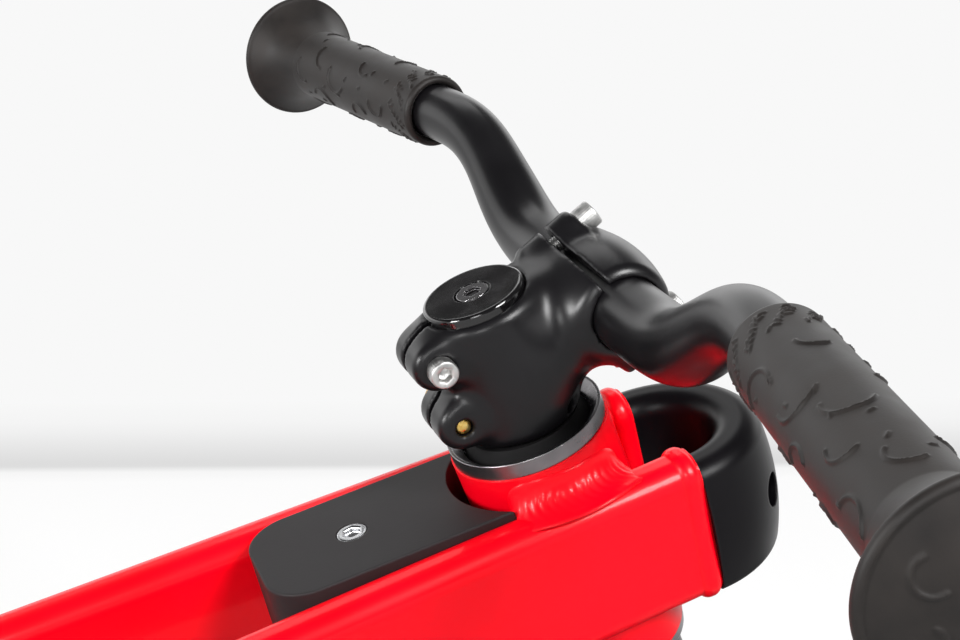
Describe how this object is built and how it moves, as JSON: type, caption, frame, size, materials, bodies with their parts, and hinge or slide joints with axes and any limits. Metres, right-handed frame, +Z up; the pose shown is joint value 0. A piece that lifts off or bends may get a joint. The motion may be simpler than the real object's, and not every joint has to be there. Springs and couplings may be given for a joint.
{
  "type": "balance bike",
  "caption": "Child's balance bike with a twin-rail frame, a bumper loop before the head tube, a clamped stem with riser bar, flanged grips, spoked wheels and a sliding saddle.",
  "frame": {"origin": "on the ground below the middle of the wheelbase", "axes": "+X forward, +Y to the rider's left, +Z up"},
  "size_m": [0.865, 0.4778, 0.5095],
  "materials": {
    "red_paint": "gloss",
    "black_paint": "satin",
    "bumper_plastic": "satin",
    "cover_plastic": "matte",
    "cap_plastic": "gloss",
    "grip_rubber": "matte",
    "tyre_rubber": "matte",
    "valve_rubber": "matte",
    "zinc_steel": "satin",
    "bearing_steel": "satin",
    "black_steel": "satin",
    "alloy": "satin",
    "saddle_vinyl": "matte"
  },
  "bodies": {
    "frame": {"head_tube": "red_paint", "rail_left": "red_paint", "rail_right": "red_paint", "dropout_left": "red_paint", "dropout_right": "red_paint", "front_bumper": "bumper_plastic", "cover_block": "cover_plastic", "cover_screw": "zinc_steel", "upper_cup": "black_paint", "lower_cup": "black_paint", "upper_bearing": "bearing_steel", "lower_bearing": "bearing_steel", "seat_tube": "red_paint", "seat_bridge_upper": "red_paint", "seat_bridge_lower": "red_paint", "seat_collar": "black_paint", "collar_stud": "zinc_steel", "rear_axle": "zinc_steel", "rear_axle_washers": "zinc_steel", "rear_axle_nuts": "zinc_steel"},
    "steering": {"dust_cover": "black_paint", "crown_race": "bearing_steel", "steerer": "bearing_steel", "fork_crown": "black_paint", "fork_leg_left": "black_paint", "fork_leg_right": "black_paint", "fork_tip_left": "zinc_steel", "fork_tip_right": "zinc_steel", "stem": "black_paint", "stem_faceplate": "black_paint", "pinch_bolts": "zinc_steel", "face_bolts": "zinc_steel", "top_cap": "cap_plastic", "cap_bolt": "zinc_steel", "star_nut": "bearing_steel", "handlebar": "black_paint", "grip_left": "grip_rubber", "grip_right": "grip_rubber", "front_axle": "zinc_steel", "front_axle_washers": "zinc_steel", "front_axle_nuts": "zinc_steel"},
    "front_wheel": {"front_tyre": "tyre_rubber", "front_rim": "alloy", "front_hub": "alloy", "front_spokes": "zinc_steel", "front_valve": "valve_rubber"},
    "rear_wheel": {"rear_tyre": "tyre_rubber", "rear_rim": "alloy", "rear_hub": "alloy", "rear_spokes": "zinc_steel", "rear_valve": "valve_rubber"},
    "seat": {"seatpost": "black_paint", "saddle_shell": "cover_plastic", "saddle_cushion": "saddle_vinyl", "saddle_wires": "black_steel", "saddle_cradle": "black_steel", "saddle_clamp_plate": "black_steel", "saddle_bolt": "zinc_steel"},
    "lever": {"collar_lever": "alloy"}
  },
  "joints": [
    {"name": "steering_turn", "type": "hinge", "parent": "frame", "child": "steering", "pos_m": [0.15024, 0, 0.41669], "axis": [-0.3535, 0, 0.9354], "range_deg": [-70, 70]},
    {"name": "front_wheel_spin", "type": "hinge", "parent": "steering", "child": "front_wheel", "pos_m": [0.28, 0, 0.1525], "axis": [0, 1, 0], "continuous": true},
    {"name": "rear_wheel_spin", "type": "hinge", "parent": "frame", "child": "rear_wheel", "pos_m": [-0.28, 0, 0.1525], "axis": [0, 1, 0], "continuous": true},
    {"name": "seat_height", "type": "slide", "parent": "frame", "child": "seat", "axis": [-0.309, 0, 0.9511], "range_m": [-0.01, 0.06]},
    {"name": "lever_turn", "type": "hinge", "parent": "frame", "child": "lever", "pos_m": [-0.16803, 0.0149, 0.34268], "axis": [-0.309, 0, 0.9511], "range_deg": [0, 150]}
  ]
}
